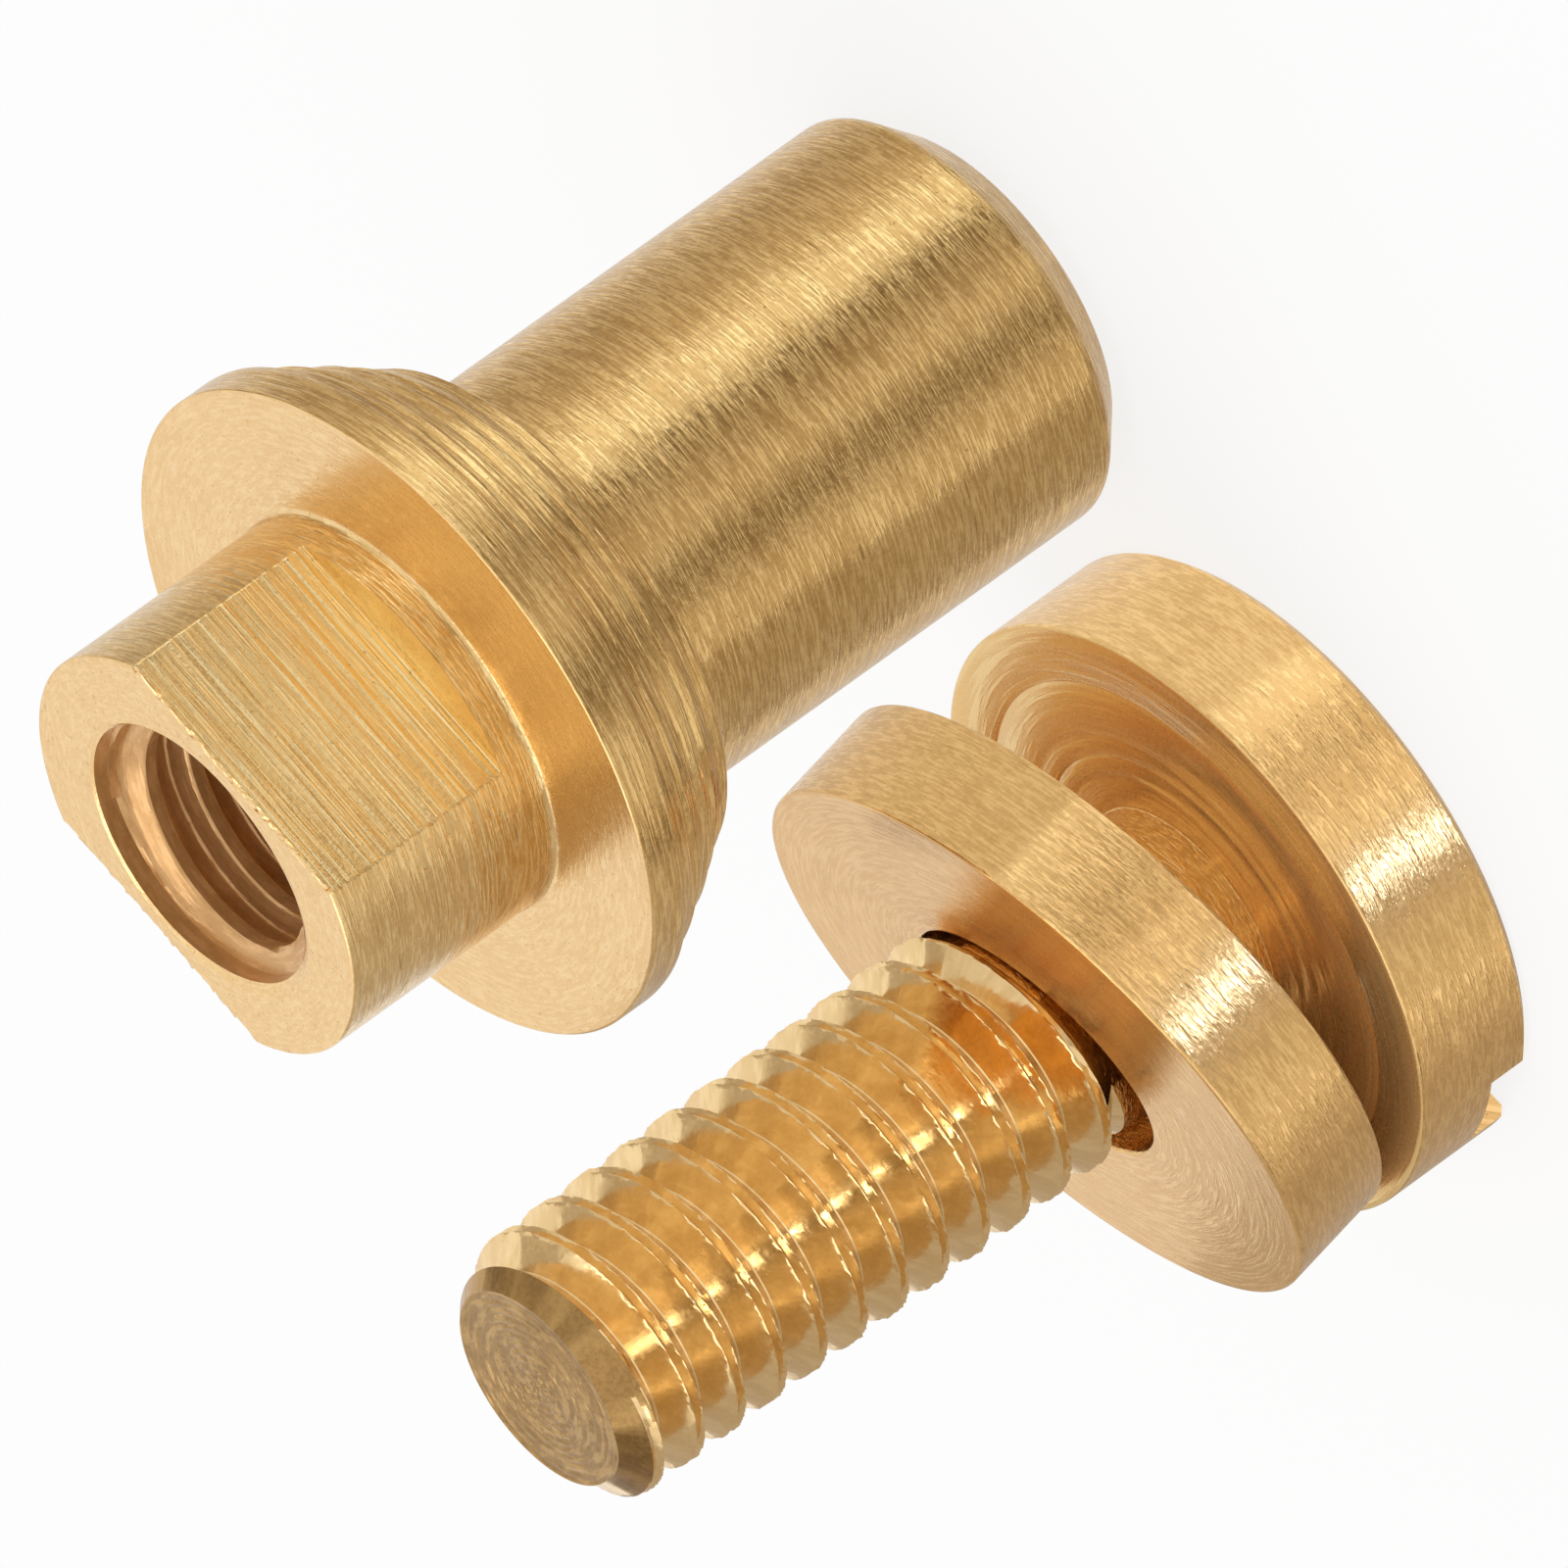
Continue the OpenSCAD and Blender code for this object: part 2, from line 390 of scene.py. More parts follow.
# Front of the boss: a small round on its edge, torn along the flats, then the flat end in to the countersink,
# which is deep on one side only
FLAT_TEAR = 0.035
bend = np.linspace(0, np.pi / 2, 5)[1:, None]
tear = np.where(on_flat, chance.normal(0, FLAT_TEAR, len(post_turn)), 0)
lip_r = boss_r[-1] - BOSS_EDGE * (1 - np.cos(bend)) + tear * np.sin(2 * bend)
lip_z = BOSS_Z - BOSS_EDGE * (1 - np.sin(bend)) + 0 * lip_r
inward = np.array([0.03, 0.25, 0.5, 0.75, 0.96, 1.0])[:, None]
sink = np.maximum(np.cos(post_turn - SINK_TURN), 0) ** 1.5
sink_r = MOUTH_R + (SINK_R - MOUTH_R) * (SINK_LEAST + (1 - SINK_LEAST) * sink)
front_r = lip_r[-1] + inward * (sink_r - lip_r[-1])
front_z = np.full_like(front_r, BOSS_Z)
mouth_r = np.full((1, len(post_turn)), MOUTH_R)
mouth_z = BOSS_Z - MOUTH_EDGE - SINK_DEPTH * sink[None, :]

# Bore: a short plain mouth, then the inner thread, fading out above the drilled point. The lists give the
# thread's radius over one pitch, from the middle of a crest
TAP_END = 0.3
TAP_FADE = 1.2
MOUTH_SLOPE = 4.0
inner_phase = [0.0, 0.12, 0.15, 0.18, 0.3, 0.34, 0.4, 0.6, 0.66, 0.7, 0.82, 0.85, 0.88]
inner_reach = [1.7, 1.7, 1.715, 1.75, 1.95, 1.985, 2.0, 2.0, 1.985, 1.95, 1.75, 1.715, 1.7]
bore_z, bore_phase, bore_far = thread_rows(
    BORE_FLOOR_Z, BOSS_Z - MOUTH_DEPTH, post_turn - post_turn[0], inner_phase, False
)
tapped = np.clip((bore_z - BORE_FLOOR_Z - TAP_END) / TAP_FADE, 0, 1)
bore_r = BORE_R + tapped * (np.interp(bore_phase, inner_phase, inner_reach, period=1) - BORE_R)
bore_r = np.maximum(bore_r, MOUTH_R - MOUTH_SLOPE * (BOSS_Z - MOUTH_DEPTH - bore_z))
point_share = np.array([[0.5], [0.0]]) + np.zeros_like(post_turn)
point_r = BORE_R * point_share
point_z = BORE_FLOOR_Z - BORE_POINT * (1 - point_share)

post_r = np.concatenate([outside_r, boss_r, lip_r, front_r, mouth_r, bore_r, point_r])
post_z = np.concatenate([outside_z, boss_z, lip_z, front_z, mouth_z, bore_z, point_z])
bore_start = len(outside_r) + len(boss_r) + len(lip_r) + len(front_r) + len(mouth_r)
post_far = np.arange(len(post_r))
post_far[bore_start:bore_start + len(bore_far)] = bore_start + bore_far
post_points, post_triangles, post_row, post_column = skin(
    POST_X + post_r * np.cos(post_turn), post_r * np.sin(post_turn), post_z, post_far
)
# The mouth, the bore and its point take the tapped brass, whose darker colour is painted shade.
row_finish = np.concatenate([
    outside_finish,
    np.full(len(boss_r), BOSS),
    np.full(len(lip_r) + len(front_r), FACED),
    np.full(len(mouth_r) + len(bore_r) + len(point_r), THREADED),
])
post_finish = row_finish[post_row]
flat_rows = (post_row >= len(outside_r) - 1) & (post_row < len(outside_r) + len(boss_r) - 1)
post_finish[flat_rows & on_flat[post_column]] = MILLED
make_piece(
    "threaded_post_brass",
    post_points,
    post_triangles,
    post_finish,
    post_brass,
    "threaded_post",
)

# Slotted screw
# A brass screw turned in one piece: a round head with a sawn slot, a thinner neck under it, and a rolled
# thread, whose crests close over a seam between two thin lips. The tip is faced and chamfered.
SCREW_X = -4.4875
HEAD_R = 4.7
HEAD_T = 2.0
HEAD_EDGE = 0.12
SLOT_HALF = 0.8
SLOT_DEPTH = 0.7
SLOT_TURN = math.radians(30)
NECK_R = 1.8
NECK_TOP_Z = 5.452
TIP_Z = 13.952
TIP_R = 1.55
screw_place = (SCREW_X * MM, 0.0, 0.0)
# The fifth finish of the screw is its tip's, on the faced end and the chamfer: a much darker brass, painted
# shade for the dim light that the tip shows
TIP_SHADE = 4
screw_brass = [
    cut_brass(
        "screw_turned", screw_place, UPRIGHT, (1.0, 0.66, 0.28), (0.68, 0.41, 0.15),
        around=14.0, along=23.0, rough=0.19, depth=0.003, pits=0.04, tears=0.6,
    ),
    cut_brass(
        "screw_faced", screw_place, UPRIGHT, (1.0, 0.74, 0.34), (0.88, 0.58, 0.22),
        around=2.5, along=11.0, rough=0.24, depth=0.003, pits=0.04, metal=0.66,
    ),
    cut_brass(
        "screw_slot", screw_place, UPRIGHT, (0.92, 0.60, 0.27), (0.70, 0.42, 0.15),
        around=4.0, along=6.0, rough=0.26, depth=0.004, pits=0.04,
    ),
    cut_brass(
        "screw_thread", screw_place, UPRIGHT, (0.96, 0.71, 0.37), (0.80, 0.55, 0.25),
        around=5.0, along=5.0, rough=0.15, depth=0.0012, pits=0.03,
    ),
    cut_brass(
        "screw_tip_shade", screw_place, UPRIGHT, (0.54, 0.33, 0.12), (0.26, 0.145, 0.05),
        around=3.0, along=9.0, rough=0.24, depth=0.004, pits=0.03,
    ),
]

# Columns run from one side of the head to the other, and two stand at each corner of the slot, one for the
# side and one for the slot
SIDE_COLUMNS = 96
SLOT_COLUMNS = 28
slot_swing = math.acos(SLOT_HALF / HEAD_R)
square_on = SLOT_TURN + np.pi / 2


def head_columns(swing):
    """Angles from the slot's square-on direction, for a slot whose corners lie that far round."""
    side = np.linspace(-swing, swing, SIDE_COLUMNS + 1)
    gap = np.linspace(swing, np.pi - swing, SLOT_COLUMNS + 1)
    return np.concatenate([side, gap, side + np.pi, gap + np.pi])


screw_turn = head_columns(slot_swing)
in_slot = np.zeros(len(screw_turn), bool)
in_slot[SIDE_COLUMNS + 1:SIDE_COLUMNS + SLOT_COLUMNS + 2] = True
in_slot[2 * SIDE_COLUMNS + SLOT_COLUMNS + 3:] = True

# Rim and upper face of the head, with the rings that the tool left, and the neck; where the slot is, the rim
# starts at the slot's floor
RIM_STEP = 0.1
HEAD_EASE = 0.07
NECK_EASE = 0.02
HEAD_RING_R = np.array([3.8, 2.95, 2.62, 2.3])
HEAD_RING_DEPTH = np.array([0.03, 0.014, 0.02, 0.014])
HEAD_RING_HALF = 0.06
RUN_OUT = 0.9
RUN_OUT_SPARE = 0.05
bottom_r = HEAD_R - HEAD_EDGE
wall_z = np.array([0.0, HEAD_EDGE, 0.2, 0.45, SLOT_DEPTH])
wall_r = np.where(wall_z > 0, HEAD_R, bottom_r)
rim_z = np.append(wall_z, SLOT_DEPTH + RIM_STEP)
rim_r = np.append(wall_r, HEAD_R)
rim_swing = np.array([head_columns(math.acos(SLOT_HALF / r)) for r in rim_r])
rim_r = np.where(in_slot[None, :], HEAD_R, rim_r[:, None])
rim_swing = np.where(in_slot[None, :], screw_turn[None, :], rim_swing)
rim_z = np.where(in_slot[None, :], np.maximum(rim_z, SLOT_DEPTH)[:, None], rim_z[:, None])
rings = [
    (r + side * HEAD_RING_HALF, HEAD_T - depth * (side == 0), 0, FACED)
    for r, depth in zip(HEAD_RING_R, HEAD_RING_DEPTH) for side in (1, 0, -1)
]
upper_r, upper_z, upper_finish = turned_rows([
    (HEAD_R, SLOT_DEPTH + 2 * RIM_STEP, 0, TURNED),
    (HEAD_R, HEAD_T, HEAD_EASE, FACED),
    *rings,
    (NECK_R, HEAD_T, NECK_EASE, TURNED),
    (NECK_R, NECK_TOP_Z - RUN_OUT - RUN_OUT_SPARE, 0, TURNED),
])
upper_r = np.repeat(upper_r[:, None], len(screw_turn), axis=1)
upper_z = np.repeat(upper_z[:, None], len(screw_turn), axis=1)

# Thread: a sharp root, straight flanks, and a narrow crest with a torn lip on each edge and a seam between.
# It runs out into the neck, lower on the side where the leaning washer leaves room for it. The lists give its
# radius over one pitch, from the root
outer_phase = [0.0, 0.03, 0.355, 0.38, 0.4, 0.415, 0.435, 0.5, 0.565, 0.585, 0.6, 0.62, 0.645, 0.97]
outer_reach = [1.545, 1.555, 1.935, 1.98, 2.0, 1.985, 1.955, 1.89, 1.955, 1.985, 2.0, 1.98, 1.935, 1.555]
LIPS = (0.4, 0.6)
LIP_WIDTH = 0.025
LIP_TEAR = 0.004
WHOLE_END = 0.01
CUT_IN = 0.25
TIP_SLOPE = 1.05
LEAN_TURN = math.radians(152)
run_out_z = NECK_TOP_Z - RUN_OUT * (0.5 + 0.5 * np.cos(screw_turn + square_on - LEAN_TURN))
screw_z, screw_phase, screw_far = thread_rows(
    run_out_z, TIP_Z, screw_turn - screw_turn[0], outer_phase, True
)
screw_r = np.interp(screw_phase, outer_phase, outer_reach, period=1)

# Two columns that stand on one spot, and the two ends of a row that meet at the seam, are torn alike
torn = chance.normal(0, LIP_TEAR, screw_r.shape)
torn = torn + np.roll(torn, 1, axis=1) + np.roll(torn, 2, axis=1)
twin = np.flatnonzero(np.diff(screw_turn) < 1e-9) + 1
torn[:, twin] = torn[:, twin - 1]
torn[:, -1] = torn[screw_far, 0]
near_lip = sum(np.exp(-((screw_phase - lip) / LIP_WIDTH) ** 2) for lip in LIPS)
inside = (screw_z > run_out_z + WHOLE_END) & (screw_z < TIP_Z - WHOLE_END)
screw_r += torn * near_lip * inside
cut_in = np.clip((screw_z - run_out_z) / CUT_IN, 0, 1)
screw_r = NECK_R + cut_in * (screw_r - NECK_R)
tip_cone = TIP_R + TIP_SLOPE * (TIP_Z - screw_z)
on_chamfer = screw_r > tip_cone
screw_r = np.minimum(screw_r, tip_cone)

# Tip: the facing tool leaves a spiral, which is a wave of the radius less the share of a turn
TIP_ROWS = 60
SPIRAL_PITCH = 0.13
SPIRAL_DEPTH = 0.014
tip_share = np.linspace(0, 1, TIP_ROWS)[:, None]
tip_r = TIP_R * (1 - tip_share) * np.ones_like(screw_turn)
spiral = 0.5 + 0.5 * np.cos(2 * np.pi * tip_r / SPIRAL_PITCH - (screw_turn - screw_turn[0]))
calm = np.clip(tip_share / 0.05, 0, 1) * np.clip((1 - tip_share) / 0.03, 0, 1)
tip_z = TIP_Z - SPIRAL_DEPTH * spiral * calm

# The walls of the slot reach its corners, so the grid's own faces there are left out
body_r = np.concatenate([rim_r, upper_r, screw_r, tip_r])
body_z = np.concatenate([rim_z, upper_z, screw_z, tip_z])
upper_swing = np.repeat(screw_turn[None, :], len(body_r) - len(rim_r), axis=0)
body_turn = np.concatenate([rim_swing, upper_swing]) + square_on
thread_start = len(rim_r) + len(upper_r)
body_far = np.arange(len(body_r))
body_far[thread_start:thread_start + len(screw_far)] = thread_start + screw_far
screw_points, screw_triangles, screw_row, screw_column = skin(
    SCREW_X + body_r * np.cos(body_turn), body_r * np.sin(body_turn), body_z, body_far
)
slot_corner = in_slot != np.roll(in_slot, -1)
kept = ~((screw_row == 0) & slot_corner[screw_column])
screw_triangles, screw_row, screw_column = screw_triangles[kept], screw_row[kept], screw_column[kept]
body_finish = np.concatenate([
    np.full(len(rim_r), TURNED),
    upper_finish,
    np.full(len(screw_r), THREADED),
    np.full(len(tip_r), TIP_SHADE),
])
# The chamfer takes the tip's darker brass too: painted shade.
chamfered = np.zeros(body_r.shape, bool)
chamfered[thread_start:thread_start + len(screw_far)] = on_chamfer
screw_finish = np.where(chamfered[screw_row, screw_column], TIP_SHADE, body_finish[screw_row])


def head_lines(radius, swing, level):
    """Straight lines across the bottom of the head, along the slot, each between two columns of the rim."""
    reach = np.linspace(1, -1, 25)[None, :]
    across = radius * np.cos(swing)[:, None] + 0 * reach
    length = radius * np.sin(swing)[:, None] * reach
    turn_x = across * math.cos(square_on) - length * math.sin(square_on)
    turn_y = across * math.sin(square_on) + length * math.cos(square_on)
    return SCREW_X + turn_x, turn_y, np.full_like(turn_x, level)


# Bottom of the head on both sides of the slot, the slot's floor and its two walls
bottom_swing = np.linspace(0, math.acos(SLOT_HALF / bottom_r), SIDE_COLUMNS // 2 + 1)
floor_swing = np.linspace(slot_swing, np.pi - slot_swing, SLOT_COLUMNS + 1)
wall_swing = np.arccos(SLOT_HALF / wall_r)
walls = [head_lines(r, np.array([s]), z) for r, s, z in zip(wall_r, wall_swing, wall_z)]
far_walls = [head_lines(r, np.array([np.pi - s]), z) for r, s, z in zip(wall_r, wall_swing, wall_z)]
grids = [
    head_lines(bottom_r, bottom_swing, 0.0),
    head_lines(bottom_r, np.pi - bottom_swing[::-1], 0.0),
    head_lines(HEAD_R, floor_swing, SLOT_DEPTH),
    [np.concatenate([w[i] for w in walls]) for i in range(3)],
    [np.concatenate([w[i] for w in far_walls[::-1]]) for i in range(3)],
]
all_points, all_triangles, all_finish = [screw_points], [screw_triangles], [screw_finish]
count = len(screw_points)
for grid, cut in zip(grids, [FACED, FACED, MILLED, MILLED, MILLED]):
    points, triangles, row, _ = skin(*grid, closed=False)
    all_points.append(points)
    all_triangles.append(triangles + count)
    all_finish.append(np.full(len(row), cut))
    count += len(points)
screw = make_piece(
    "slotted_screw_brass",
    np.concatenate(all_points),
    np.concatenate(all_triangles),
    np.concatenate(all_finish),
    screw_brass,
    "slotted_screw",
)

# Washer
# A thick disc of brass, parted off a bar, faced on both sides and drilled. It is loose on the screw's neck
# and leans on it, with its low side on the head.
WASHER_R = 4.775
WASHER_HALF = 0.85
HOLE_R = 2.1
WASHER_EDGE = 0.06
WASHER_COLUMNS = 240
LEAN = math.radians(14.085)
WASHER_Z = 4.0165
washer_place = (SCREW_X * MM, 0.0, WASHER_Z * MM)
washer_lean = (0.0, LEAN, LEAN_TURN)
washer_brass = [
    cut_brass(
        "washer_turned", washer_place, washer_lean, (1.0, 0.66, 0.28), (0.68, 0.41, 0.15),
        around=14.0, along=23.0, rough=0.19, depth=0.003, pits=0.04, tears=0.6,
    ),
    cut_brass(
        "washer_faced", washer_place, washer_lean, (0.88, 0.56, 0.215), (0.70, 0.40, 0.13),
        around=7.0, along=20.0, rough=0.2, depth=0.002, pits=0.05, metal=0.8,
    ),
]
washer_turn = np.linspace(0, 2 * np.pi, WASHER_COLUMNS, endpoint=False)
washer_r, washer_z, washer_finish = turned_rows([
    (HOLE_R, 0.0, 0, TURNED),
    (HOLE_R, -WASHER_HALF, WASHER_EDGE, FACED),
    (WASHER_R, -WASHER_HALF, WASHER_EDGE, TURNED),
    (WASHER_R, WASHER_HALF, WASHER_EDGE, FACED),
    (HOLE_R, WASHER_HALF, WASHER_EDGE, TURNED),
    (HOLE_R, 0.0, 0, TURNED),
])
disc = np.stack([
    washer_r[:, None] * np.cos(washer_turn),
    washer_r[:, None] * np.sin(washer_turn),
    washer_z[:, None] + 0 * washer_turn,
], -1)
tilt = np.array(Matrix.Rotation(LEAN_TURN, 3, "Z") @ Matrix.Rotation(LEAN, 3, "Y"))
disc = disc @ tilt.T + np.array([SCREW_X, 0, WASHER_Z])
washer_points, washer_triangles, washer_row, _ = skin(disc[..., 0], disc[..., 1], disc[..., 2])
washer = make_piece(
    "washer_brass",
    washer_points,
    washer_triangles,
    washer_finish[washer_row],
    washer_brass,
    "washer",
)

# Floor
# A sheet of white card under the pieces. The camera sees it almost evenly white, with a pale shadow.
FLOOR_HALF = 2.0
CARD_WHITE = (0.9, 0.9, 0.9, 1.0)
CARD_GLOW = 0.82


def bare_material(name):
    """A material with no shader yet, and its nodes."""
    material = bpy.data.materials.new(name)
    material.use_nodes = True
    tree = material.node_tree
    tree.nodes.remove(tree.nodes["Principled BSDF"])
    return material, tree


def seen_rays(tree):
    """1 for the rays of the camera and those that metal or glass sends on, 0 for the light on the pieces."""
    paths = Wire(tree, tree.nodes.new("ShaderNodeLightPath").outputs["Is Camera Ray"])
    seen = paths.math("MAXIMUM", paths, paths.out("Is Glossy Ray"))
    return paths.math("MAXIMUM", seen, paths.out("Is Transmission Ray"))


corner_x = np.array([-FLOOR_HALF, FLOOR_HALF, FLOOR_HALF, -FLOOR_HALF])
corner_y = np.array([-FLOOR_HALF, -FLOOR_HALF, FLOOR_HALF, FLOOR_HALF])
floor_mesh = bpy.data.meshes.new("white_floor")
floor_mesh.from_pydata(np.stack([corner_x, corner_y, np.zeros(4)], -1).tolist(), [], [(0, 1, 2, 3)])
floor = bpy.data.objects.new("white_floor", floor_mesh)
bpy.context.scene.collection.objects.link(floor)
card, tree = bare_material("white_card")
seen = seen_rays(tree)
lit = seen.node("ShaderNodeBsdfDiffuse", {}, {"Color": CARD_WHITE})
glow = seen.node("ShaderNodeEmission", {}, {"Color": (1.0, 1.0, 1.0, 1.0), "Strength": 1.0})
both = seen.node("ShaderNodeMixShader", {}, {0: seen * CARD_GLOW, 1: lit, 2: glow})
both.into(tree.nodes["Material Output"], "Surface")
floor_mesh.materials.append(card)
floor.visible_glossy = False
floor.visible_shadow = False

# Studio
# A white room with a hanging of white and brown strips, like cloth, around the table and screens like paper
# beside the pieces, which only the metal shows. The strips and screens are not lit by the lamps: they glow,
# and their colours are painted light and shade, bright and brown bands for the metal to mirror. A large soft
# lamp hangs above, and four smaller ones stand low in front of the screw and the washer, for the streaks and
# the even light on their rims.
HANGING_R = 0.45
HANGING_POINT_Z = -0.85
HANGING_FOOT_Z = -0.75
HANGING_TOP_Z = 0.13
HANGING_COLUMNS = 96
WARM = np.array([1.0, 0.80, 0.58])


def only_reflected(thing):
    """Hides a thing from the camera and keeps its light off the pieces, so that only the metal shows it."""
    thing.visible_camera = False
    thing.visible_diffuse = False
    thing.visible_shadow = False
    thing.visible_transmission = False


def warm(level):
    """The glow of the hanging or of a screen at a brightness, browner as it gets darker: painted light and
    shade.
    """
    return tuple(level * (WARM + (1 - WARM) * level))


def strip(degrees, level):
    """A stop of the hanging's colours: a direction in degrees, and how bright it is."""
    return (degrees + 180) / 360, warm(level)


hanging_turn = np.linspace(0, 2 * np.pi, HANGING_COLUMNS, endpoint=False)
hanging_r = np.array([[0.0], [HANGING_R], [HANGING_R]]) + 0 * hanging_turn
hanging_z = np.array([[HANGING_POINT_Z], [HANGING_FOOT_Z], [HANGING_TOP_Z]]) + 0 * hanging_turn
points, triangles, _, _ = skin(
    hanging_r * np.cos(hanging_turn), hanging_r * np.sin(hanging_turn), hanging_z
)
hanging_mesh = bpy.data.meshes.new("glowing_hanging")
hanging_mesh.from_pydata(points.tolist(), [], triangles.tolist())
hanging = bpy.data.objects.new("glowing_hanging", hanging_mesh)
bpy.context.scene.collection.objects.link(hanging)
strip_glow, tree = bare_material("glowing_strips")
start = Wire(tree, tree.nodes.new("ShaderNodeTexCoord").outputs["Object"])
split = start.node("ShaderNodeSeparateXYZ", {}, {0: start})
azimuth = start.math("ARCTAN2", split.out("Y"), split) / (2 * math.pi) + 0.5
strips = start.node(
    "ShaderNodeValToRGB",
    {"stops": [
        strip(-180, 0.26), strip(-163, 0.28), strip(-146, 0.82), strip(-122, 0.7), strip(-104, 0.24),
        strip(-84, 0.78), strip(-64, 0.52), strip(-44, 0.2), strip(-35, 1.2), strip(-16, 1.3),
        strip(-3, 0.74), strip(17, 0.58), strip(37, 0.5), strip(57, 0.78), strip(80, 0.9), strip(105, 0.82),
        strip(125, 1.0), strip(138, 1.0), strip(158, 0.5), strip(180, 0.26),
    ]},
    {"Fac": azimuth},
)

# The hanging glows bright at its lowest point, dimmer around it, and a little brighter again up the sides:
# painted light for the metal to mirror
rise = split.out("Z")
level = 2.3 - 1.6 * rise.ease(-0.85, -0.812) + 0.2 * rise.ease(-0.77, -0.74)
level = level + 0.1 * rise.ease(-0.7, -0.2) + 0.1 * rise.ease(-0.2, 0.12)
shade = strips.node("ShaderNodeVectorMath", {"operation": "SCALE"}, {0: strips, "Scale": level})
glow = start.node("ShaderNodeEmission", {}, {"Color": shade, "Strength": 1.0})
glow.into(tree.nodes["Material Output"], "Surface")
hanging_mesh.materials.append(strip_glow)
only_reflected(hanging)


def hang_screen(name, x, y_span, z_span, screw_side, post_side):
    """An upright glowing sheet across X, in millimetres, with its own brightness on each side: painted light
    and shade for the metal to mirror.
    """
    mesh = bpy.data.meshes.new(name)
    y, z = np.array(y_span)[[0, 1, 1, 0]], np.array(z_span)[[0, 0, 1, 1]]
    corners = np.stack([np.full(4, x), y, z], -1) * MM
    mesh.from_pydata(corners.tolist(), [], [(0, 1, 2, 3)])
    screen = bpy.data.objects.new(name, mesh)
    bpy.context.scene.collection.objects.link(screen)
    glow_sheet, tree = bare_material(name + "_paper")
    back = Wire(tree, tree.nodes.new("ShaderNodeNewGeometry").outputs["Backfacing"])
    shade = back.mix(warm(post_side), warm(screw_side))
    glow = back.node("ShaderNodeEmission", {}, {"Color": shade, "Strength": 1.0})
    glow.into(tree.nodes["Material Output"], "Surface")
    mesh.materials.append(glow_sheet)
    only_reflected(screen)


BETWEEN_X = 0.66
HIGH_X = -1.6
HIGH_SPAN = (6.2, 17.0)
for level_name, z_span, screw_side in (("low", (-40.0, 3.0), 0.95), ("middle", (3.0, 7.5), 0.78)):
    hang_screen(level_name + "_front_screen", BETWEEN_X, (-4.6, -1.5), z_span, screw_side, 0.47)
    hang_screen(level_name + "_back_screen", BETWEEN_X, (-1.5, 6.0), z_span, screw_side, 0.74)
for part_name, y_span, screw_side in (
    ("front", (-5.0, -1.3), 0.84), ("middle", (-1.3, 0.5), 0.76), ("back", (0.5, 2.0), 0.52)
):
    hang_screen("high_" + part_name + "_screen", HIGH_X, y_span, HIGH_SPAN, screw_side, 0.58)
hang_screen("left_screen", -13.0, (-4.5, 13.0), (-40.0, 20.0), 0.5, 0.5)
hang_screen("flat_screen", 18.0, (-21.5, -14.4), (0.0, 14.0), 0.87, 0.87)

ROOM_LIGHT = (0.8, 0.8, 0.8)
ROOM_WHITE = (1.0, 1.0, 1.0)
world = bpy.data.worlds.new("white_room")
bpy.context.scene.world = world
world.use_nodes = True
tree = world.node_tree
shade = seen_rays(tree).mix(ROOM_LIGHT, ROOM_WHITE)
shade.into(tree.nodes["Background"], "Color")


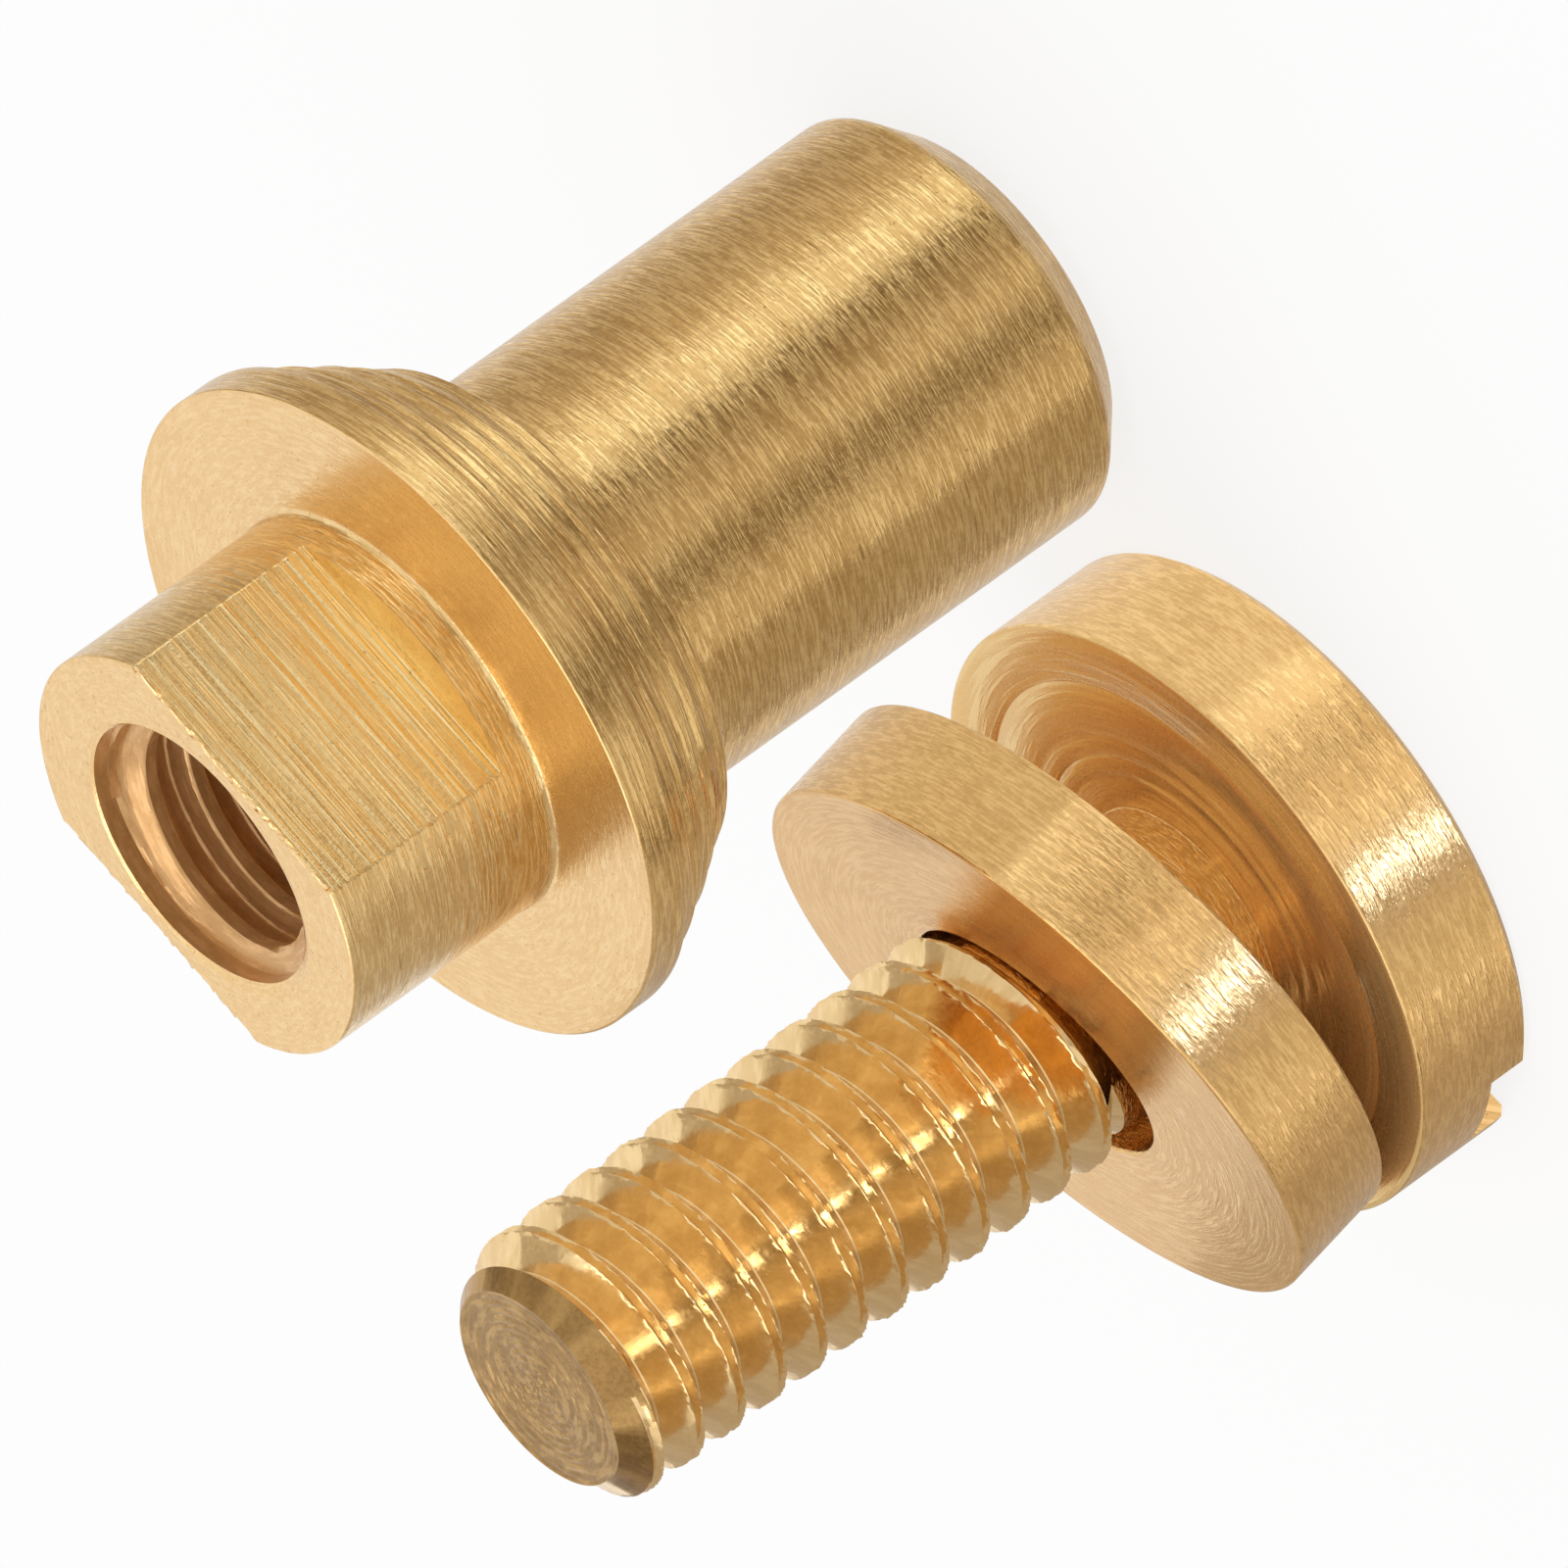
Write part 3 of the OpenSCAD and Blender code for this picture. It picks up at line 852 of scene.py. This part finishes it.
def hang_lamp(name, place, aim, width, height, brightness, only=None, tint=(1.0, 1.0, 1.0)):
    """A flat lamp at a place, turned to a point, whose power gives its surface that brightness.

    Its power is the brightness times pi times its area. Where some pieces are named, it lights only those.
    """
    lamp = bpy.data.lights.new(name, "AREA")
    lamp.shape = "RECTANGLE"
    lamp.size = width
    lamp.size_y = height
    lamp.color = tint
    lamp.energy = brightness * math.pi * width * height
    holder = bpy.data.objects.new(name, lamp)
    holder.location = place
    holder.rotation_euler = (Vector(aim) - Vector(place)).to_track_quat("-Z", "Y").to_euler()
    bpy.context.scene.collection.objects.link(holder)
    if only is not None:
        lit_pieces = bpy.data.collections.new(name + "_pieces")
        for piece in only:
            lit_pieces.objects.link(piece)
        holder.light_linking.receiver_collection = lit_pieces


TABLE_MIDDLE = (0.0, 0.0, 0.0)
SCREW_HEAD = (-0.0045, 0.0, 0.003)
COOL = (0.75, 0.95, 1.5)
rims = [screw, washer]
hang_lamp("soft_lamp", (-0.10, 0.05, 0.40), TABLE_MIDDLE, 0.35, 0.35, 1.2)
hang_lamp("streak_lamp", (-0.042, -0.205, -0.073), SCREW_HEAD, 0.03, 0.085, 7.0, rims, tint=COOL)
hang_lamp("right_rim_lamp", (0.10, -0.21, -0.085), SCREW_HEAD, 0.24, 0.12, 0.5, rims)
hang_lamp("band_lamp", (0.159, -0.169, -0.06), SCREW_HEAD, 0.066, 0.2, 0.38, rims)
hang_lamp("left_rim_lamp", (-0.2225, -0.067, -0.085), SCREW_HEAD, 0.14, 0.12, 0.4, rims)

# Camera
# It stands a long way off with a long lens, so that both pieces look parallel, and it is rolled so that the
# pieces lie across the picture as in the photograph.
SIGHT = Vector((-0.2055, 0.8780, -0.4322)).normalized()
RIGHT = Vector((-0.4875, -0.4748, -0.7327))
RIGHT = (RIGHT - SIGHT * RIGHT.dot(SIGHT)).normalized()
UP = RIGHT.cross(SIGHT)
VIEW_WIDTH = 21.145 * MM
STAND_OFF = 0.6
AIM_RIGHT = 2.619
AIM_DOWN = 2.814
aim = Vector((POST_X, 0, BOSS_Z / 2)) * MM + RIGHT * AIM_RIGHT * MM - UP * AIM_DOWN * MM
camera_data = bpy.data.cameras.new("photo_camera")
camera_data.sensor_width = 36.0
camera_data.lens = camera_data.sensor_width * STAND_OFF / VIEW_WIDTH
camera_data.clip_start = 0.05
camera_data.clip_end = 10.0
camera = bpy.data.objects.new("photo_camera", camera_data)
axes = Matrix((RIGHT, UP, -SIGHT)).transposed()
camera.matrix_world = Matrix.Translation(aim - SIGHT * STAND_OFF) @ axes.to_4x4()
bpy.context.scene.collection.objects.link(camera)
bpy.context.scene.camera = camera
bpy.context.scene.view_settings.view_transform = "Standard"
